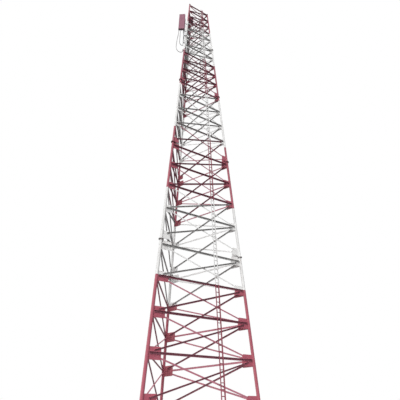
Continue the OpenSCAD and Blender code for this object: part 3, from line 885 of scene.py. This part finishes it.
def ladder_fixings():
    """Lug bolts on the horizontals, and plates that join one length of rail to the next."""
    shape = Shape()
    for s in range(SECTIONS):
        for i in range(1, PANELS[s] + 1):
            z = level(s, i)
            for e in (-1, 1):
                x = ladder_x(z) + e * (LADDER_W / 2 + LUG_W / 2 - RAIL_T)
                y = up_side(z) + HORIZONTAL_W / 2 + RAIL_T
                top = move(x, y, GUSSET_T / 2 + 0.55 * HORIZONTAL_W) @ spin(-90, "X")
                put_bolt(shape, side_place("front") @ top, LUG_BOLT, RAIL_T + HORIZONTAL_T)
    inner = (LADDER_W + RAIL_T) / 2
    outer = inner + RAIL_PLATE_T
    for k in range(1, SECTIONS):
        place = ladder_place(k * SECTION_H)
        for e in (-1, 1):
            x0, x1 = sorted((e * inner, e * outer))
            shape.put(block(x0, x1, -RAIL_PLATE_HALF, RAIL_PLATE_HALF, *RAIL_PLATE_Z), place)
            for y in (-RAIL_PLATE_HALF / 2, RAIL_PLATE_HALF / 2):
                outside = move(e * outer, y, sum(RAIL_PLATE_Z) / 2) @ spin(90 * e, "Y")
                put_bolt(shape, place @ outside, RAIL_BOLT, RAIL_T + RAIL_PLATE_T)
    return shape


def rung_welds():
    """Collars of weld where the rungs meet the rails."""
    shape = Shape()
    r = RUNG_D / 2
    collar = turned([(r + 0.0028, 0), (r + 0.002, 0.004), (r + 0.0004, 0.007)], 18)
    clear = RUNG_CLEAR * RUNG_STEP
    for n in range(2, int(TOWER_H / RUNG_STEP) + 1):
        s = section_of(n * RUNG_STEP)
        low = s * SECTION_H if s else LADDER_FOOT
        if not low + clear <= n * RUNG_STEP <= (s + 1) * SECTION_H - clear:
            continue
        y = up_side(n * RUNG_STEP - low)
        for e in (-1, 1):
            inside = move(e * (LADDER_W - RAIL_T) / 2, y, RAIL_D / 2) @ spin(-90 * e, "Y")
            shape.put(collar, ladder_place(low) @ inside)
    return shape


make_piece("ladder_fixings", ladder_fixings(), LADDER_FIXINGS)
make_piece("ladder_rung_welds", rung_welds(), LADDER_PAINT, 60)


# Panel antenna with its frame

END_CAP_RIM = 0.005
END_CAP_H = 0.052
END_CAP_PAST = 0.008
TRAY_RIM = 0.003
TRAY_FRONT = 0.020
TRAY_END = 0.050
TRAY_BARS = 5
TRAY_BAR_IN = 0.030
TRAY_BAR_T = 0.012
TRAY_BAR_HALF = 0.012
U_BOLT_R = 0.006
U_BOLT_GAP = 0.007
PANEL_U_BOLT_END = 0.075
PANEL_U_BOLT_IN = 0.018
PANEL_NUT_Y = 0.004


def panel_outline():
    """Outline of the panel antenna from above, rounded at the front."""
    r = PANEL_ROUND * PANEL_D
    w, d = PANEL_W / 2, PANEL_D / 2
    corner = [math.radians(a) for a in (0, 22.5, 45, 67.5, 90)]
    left = [(r - w - r * math.cos(a), r - d - r * math.sin(a)) for a in corner]
    right = [(w - r + r * math.sin(a), r - d - r * math.cos(a)) for a in corner]
    return [(-w, d)] + left + right + [(w, d)]


def panel_trim():
    """End caps, the tray along the back and the bars across it."""
    shape = Shape()
    grown = shrink(panel_outline(), -END_CAP_RIM)
    for low in (-END_CAP_PAST, PANEL_H + END_CAP_PAST - END_CAP_H):
        shape.put(plate(grown, low, low + END_CAP_H, 0.004), PANEL_PLACE)
    w, d = PANEL_W / 2 + TRAY_RIM, PANEL_D / 2 + TRAY_RIM
    shape.put(block(-w, w, TRAY_FRONT, d, TRAY_END, PANEL_H - TRAY_END, 0.003), PANEL_PLACE)
    for k in range(1, TRAY_BARS + 1):
        z = PANEL_H * k / (TRAY_BARS + 1)
        x = w - TRAY_BAR_IN
        bar = block(-x, x, d - 0.001, d + TRAY_BAR_T, z - TRAY_BAR_HALF, z + TRAY_BAR_HALF, 0.003)
        shape.put(bar, PANEL_PLACE)
    return shape


def u_bolt(end):
    """Rod bent around a pole, open towards local -Y; its ends are at -end."""
    r = POLE_D / 2 + U_BOLT_GAP
    bend = [(r * math.cos(t), r * math.sin(t), 0) for t in [math.pi * k / 12 for k in range(13)]]
    path = [(r, -end, 0)] + bend + [(-r, -end, 0)]
    return tube(path, [U_BOLT_R] * len(path))


def panel_bolts():
    """U-bolts with nuts around the pole at the brackets of the panel antenna."""
    shape = Shape()
    r = POLE_D / 2 + U_BOLT_GAP
    nut = turned([(0.011, 0), (0.012, 0.001), (0.012, 0.009), (0.010, 0.010)], 6)
    for arm in (ARM_LOW, ARM_HIGH):
        for dz in (PANEL_U_BOLT_IN, BRACKET_H - PANEL_U_BOLT_IN):
            place = move(POLE.x, POLE.y, arm + ARM_H + dz) @ PANEL_TURN
            shape.put(u_bolt(PANEL_U_BOLT_END), place)
            for x in (-r, r):
                shape.put(nut, place @ move(x, PANEL_NUT_Y, 0) @ spin(-90, "X"))
    return shape


# Split ears of a collar: how far they reach, half their height, their near and far faces, and their bolts
EAR_REACH = 0.044
EAR_HALF = 0.037
EAR_Y = (0.006, 0.020)
EAR_BOLT_OUT = 0.024
EAR_BOLT_Z = 0.019


def clamp_ears(shape, place, radius):
    """Split ears with two bolts on a collar; they point along the place's +X."""
    near, far = EAR_Y
    for y0, y1 in ((-far, -near), (near, far)):
        shape.put(block(radius - 0.004, radius + EAR_REACH, y0, y1, -EAR_HALF, EAR_HALF, 0.002), place)
    for z in (-EAR_BOLT_Z, EAR_BOLT_Z):
        put_bolt(shape, place @ move(radius + EAR_BOLT_OUT, far, z) @ spin(-90, "X"), EAR_BOLT, 2 * far)


def arm_ears():
    """Ears on the collars of the arms, on the two legs and the poles."""
    shape = Shape()
    on_leg = leg_d(4) / 2 + ARM_RIM
    on_pole = POLE_D / 2 + ARM_RIM
    for arm in (ARM_LOW, ARM_HIGH):
        clamp_ears(shape, leg_place("left") @ move(0, 0, up_leg(arm)) @ spin(150, "Z"), on_leg)
        clamp_ears(shape, move(POLE.x, POLE.y, arm) @ spin(180, "Z"), on_pole)
        clamp_ears(shape, move(UPRIGHT.x, UPRIGHT.y, arm) @ spin(90, "Z"), on_pole)
    for arm in (DRUM_ARM_LOW, DRUM_ARM_HIGH):
        clamp_ears(shape, leg_place("rear") @ move(0, 0, up_leg(arm)) @ spin(-120, "Z"), on_leg)
        clamp_ears(shape, move(DRUM_POLE.x, DRUM_POLE.y, arm) @ spin(150, "Z"), on_pole)
    return shape


def pole_caps():
    """Domed caps on the open ends of the poles."""
    shape = Shape()
    r = POLE_D / 2
    cap = turned([(r + 0.003, -0.03), (r + 0.003, 0), (r, 0.006), (0.7 * r, 0.013), (0.3 * r, 0.016)], 32)
    for at, low, high in ((POLE, ARM_LOW - POLE_END / 2, ARM_HIGH + POLE_END),
                          (UPRIGHT, UPRIGHT_LOW, ARM_HIGH + UPRIGHT_END)):
        shape.put(cap, move(at.x, at.y, high))
        shape.put(cap, move(at.x, at.y, low) @ spin(180, "X"))
    return shape


make_piece("panel_trim", panel_trim(), RADOME_EDGE)
make_piece("panel_u_bolts", panel_bolts(), GALVANIZED, 50)
make_piece("clamp_ears", arm_ears(), GALVANIZED)
make_piece("pole_caps", pole_caps(), SLEEVE, 50)


# Fittings of the feeder cables

SLEEVE_TOP = 29.58
SLEEVE_STEP = 0.03
SLEEVE_STEPS = 12
SLEEVE_WALL = 0.005
RELIEF_RIBS = 4
CLAMP_BOLT_X = (-0.150, -0.100)


def point_at_height(path, z):
    """Where a path first comes down through a height."""
    for p, q in zip(path, path[1:]):
        if p.z >= z > q.z:
            return p + (q - p) * (p.z - z) / (p.z - q.z)


def cable_fittings(path, ends_up):
    """Coupling nut and tapered relief at the plug, gland at the far end and a sleeve on the way down."""
    shape = Shape()
    r = CABLE_D / 2
    plug = r + PLUG_WALL
    nut = (plug + 0.006) / math.cos(math.pi / 6)
    top = Matrix.Translation(path[0])
    shape.put(turned([(0.94 * nut, 0.012), (nut, 0.015), (nut, 0.037), (0.94 * nut, 0.040)], 6), top)
    shape.put(turned([(plug + 0.005, 0.052), (plug + 0.005, 0.064), (plug + 0.002, 0.069)], 28), top)
    relief = [(r + 0.0012, -0.110), (r + 0.003, -0.105), (r + 0.004, -0.060)]
    shape.put(turned(relief + [(plug - 0.001, -0.010), (plug - 0.001, 0.004)], 24), top)
    for k in range(RELIEF_RIBS):
        z = -0.030 - 0.018 * k
        rib = [(r + 0.003, z), (r + 0.0075 - 0.0006 * k, z + 0.003), (r + 0.003, z + 0.008)]
        shape.put(hoop(rib, 24), top)
    gland = [(plug - 0.001, -0.004), (plug - 0.001, 0.016), (r + 0.003, 0.034), (r + 0.001, 0.036)]
    shape.put(turned(gland, 24), Matrix.Translation(path[-1]) @ spin(0 if ends_up else 180, "X"))
    sleeve = [point_at_height(path, SLEEVE_TOP - SLEEVE_STEP * k) for k in range(SLEEVE_STEPS + 1)]
    radii = [r + 0.001] + [r + SLEEVE_WALL] * (SLEEVE_STEPS - 1) + [r + 0.001]
    shape.put(tube(sleeve, radii, 20), Matrix.Identity(4))
    return shape


for name, path in CABLE_PATHS.items():
    fittings = cable_fittings(path, "inner" in name)
    make_piece(name.replace("cable", "fittings"), fittings, SLEEVE, 40)


def clamp_bolts():
    """Bolts and ears of the clamps that hold the cables on the left leg."""
    shape = Shape()
    for z in (CLAMP_LOW, CLAMP_MID):
        c = leg_point("left", z)
        for x in CLAMP_BOLT_X:
            put_bolt(shape, move(c.x + x, c.y - CLAMP_W / 2, z) @ spin(90, "X"), CLAMP_BOLT, CLAMP_W)
        collar = leg_place("left") @ move(0, 0, up_leg(z)) @ spin(150, "Z")
        clamp_ears(shape, collar, leg_d(3) / 2 + CLAMP_RIM)
    return shape


make_piece("clamp_bolts", clamp_bolts(), GALVANIZED)


# Drum antenna

# Bands around the drum: heights above its back and how far they stand out
DRUM_BANDS = ((0.205, 0.232, 0.007), (0.448, 0.487, 0.008))
DRUM_RIDGE = ((0.330, 0.508), (0.338, 0.520), (0.348, 0.516), (0.348, 0.506))
DRUM_RIB = ((0.150, -0.026), (0.200, -0.026), (0.548, 0.160), (0.548, 0.200), (0.150, 0.004))
DRUM_RIBS = 8
DRUM_STUDS = 36
DRUM_STUD_Z = 0.4675
DRUM_U_BOLT_END = 0.050
DRUM_U_BOLT_Z = (-0.080, -0.030, 0.030, 0.080)
DRUM_NUT_Y = 0.0624
DRUM_NUT_Z = 0.085


def drum_trim():
    """Bands around the drum, ribs on its back and the ridge and studs of its cover."""
    shape = Shape()
    place = DRUM_PLACE @ move(DRUM_REACH, 0, 0) @ spin(90, "Y")
    r = DRUM_D / 2
    for low, high, out in DRUM_BANDS:
        section = [(r - 0.004, low), (r + out, low), (r + out, high), (r - 0.004, high)]
        shape.put(hoop(section, 72), place)
    shape.put(hoop(DRUM_RIDGE, 64), place)
    rib = plate(DRUM_RIB, -0.007, 0.007)
    for k in range(DRUM_RIBS):
        shape.put(rib, place @ spin(360 / DRUM_RIBS * (k + 0.5), "Z") @ spin(90, "X"))
    stud = turned([(0.011, -0.002), (0.011, 0.003), (0.008, 0.007), (0.003, 0.009)], 12)
    for k in range(DRUM_STUDS):
        out = spin(360 / DRUM_STUDS * k, "Z") @ move(r + 0.008, 0, DRUM_STUD_Z)
        shape.put(stud, place @ out @ spin(90, "Y"))
    return shape


def drum_bolts():
    """U-bolts that hold the drum's bracket on its pole, and the nuts of the bracket."""
    shape = Shape()
    for z in DRUM_U_BOLT_Z:
        shape.put(u_bolt(DRUM_U_BOLT_END), DRUM_PLACE @ move(0, 0, z) @ spin(90, "Z"))
    nut = turned([(0.013, 0), (0.015, 0.002), (0.015, 0.011), (0.012, 0.013)], 6)
    for side in (-1, 1):
        for z in (-DRUM_NUT_Z, DRUM_NUT_Z):
            outside = move(DRUM_REACH / 2, side * DRUM_NUT_Y, z) @ spin(-90 * side, "X")
            shape.put(nut, DRUM_PLACE @ outside)
    return shape


make_piece("drum_trim", drum_trim(), DRUM_TRIM_SHADED)
make_piece("drum_bolts", drum_bolts(), GALVANIZED, 50)


# Floor, which fades into the white background, and light

FLOOR_R = 6.8
FLOOR_SIDES = 96
FLOOR_FADE = (3.4, 0.97 * FLOOR_R)
FLOOR_SEEN = (0.82, 0.82, 0.82, 1)
FLOOR_BOUNCE = (0.22, 0.22, 0.22, 1)
WHITE = (1, 1, 1, 1)
SKY = (1.0, 0.985, 0.98, 1)
# The sky's strength from one height to another: it rises over the horizon and falls overhead
SKY_LOW = (-0.2, 0.2, 0.07, 0.85)
SKY_HIGH = (0.3, 1.0, 1.0, 0.4)
# It is brighter to the left, and never under the least share of its strength
SKY_LEFT = (-1.05, 0.1, 0)
SKY_LEAST = 0.38
SUN_ENERGY = 2.8
SUN_ANGLE = 28
SUN_DIRECTION = (0.27, 0.60, -0.755)

floor_mesh = bpy.data.meshes.new("floor")
rim = [(AXIS.x + FLOOR_R * math.cos(t), AXIS.y + FLOOR_R * math.sin(t), -0.002) for t in around(FLOOR_SIDES)]
floor_mesh.from_pydata(rim, [], [list(range(FLOOR_SIDES))])
floor = bpy.data.objects.new("floor", floor_mesh)
bpy.context.scene.collection.objects.link(floor)


def seen_directly(tree):
    """1 for what the camera sees, also mirrored or through glass, 0 for light."""
    path = add(tree, "LightPath")
    direct = math_node(tree, "MAXIMUM", path.outputs["Is Camera Ray"], path.outputs["Is Glossy Ray"])
    return math_node(tree, "MAXIMUM", direct, path.outputs["Is Transmission Ray"])


floor_paint, tree, shader, where = new_material("floor_pale")
seen = seen_directly(tree)
tree.links.new(blend(tree, seen, FLOOR_BOUNCE, FLOOR_SEEN), shader.inputs["Base Color"])
shader.inputs["Roughness"].default_value = 0.9
from_axis = add(tree, "VectorMath", {0: where, 1: (AXIS.x, AXIS.y, 0)}, operation="DISTANCE").outputs["Value"]
fade = times(tree, seen, remap(tree, from_axis, *FLOOR_FADE))
bright = add(tree, "Emission", {"Color": WHITE, "Strength": 1.0})
faded = add(tree, "MixShader", {0: fade, 1: shader.outputs[0], 2: bright.outputs[0]})
tree.links.new(faded.outputs[0], tree.nodes["Material Output"].inputs[0])
floor_mesh.materials.append(floor_paint)

world = bpy.data.worlds.new("studio")
bpy.context.scene.world = world
world.use_nodes = True
tree = world.node_tree
tree.nodes.clear()
away = add(tree, "TexCoord").outputs["Generated"]
height = upwards(tree, away)
dome = times(tree, remap(tree, height, *SKY_LOW), remap(tree, height, *SKY_HIGH))
from_left = math_node(tree, "ADD", dot(tree, away, SKY_LEFT), 1.0)
strength = times(tree, dome, math_node(tree, "MAXIMUM", from_left, SKY_LEAST))
sky = add(tree, "Background", {"Color": SKY, "Strength": strength})
backdrop = add(tree, "Background", {"Color": WHITE, "Strength": 1.0})
mixed = add(tree, "MixShader", {0: seen_directly(tree), 1: sky.outputs[0], 2: backdrop.outputs[0]})
tree.links.new(mixed.outputs[0], add(tree, "OutputWorld").inputs[0])

sun_data = bpy.data.lights.new("soft_key", "SUN")
sun_data.energy = SUN_ENERGY
sun_data.angle = math.radians(SUN_ANGLE)
sun = bpy.data.objects.new("soft_key", sun_data)
bpy.context.scene.collection.objects.link(sun)
sun.rotation_euler = Vector(SUN_DIRECTION).to_track_quat("-Z", "Y").to_euler()

bpy.context.scene.view_settings.view_transform = "Standard"

bpy.context.view_layer.update()
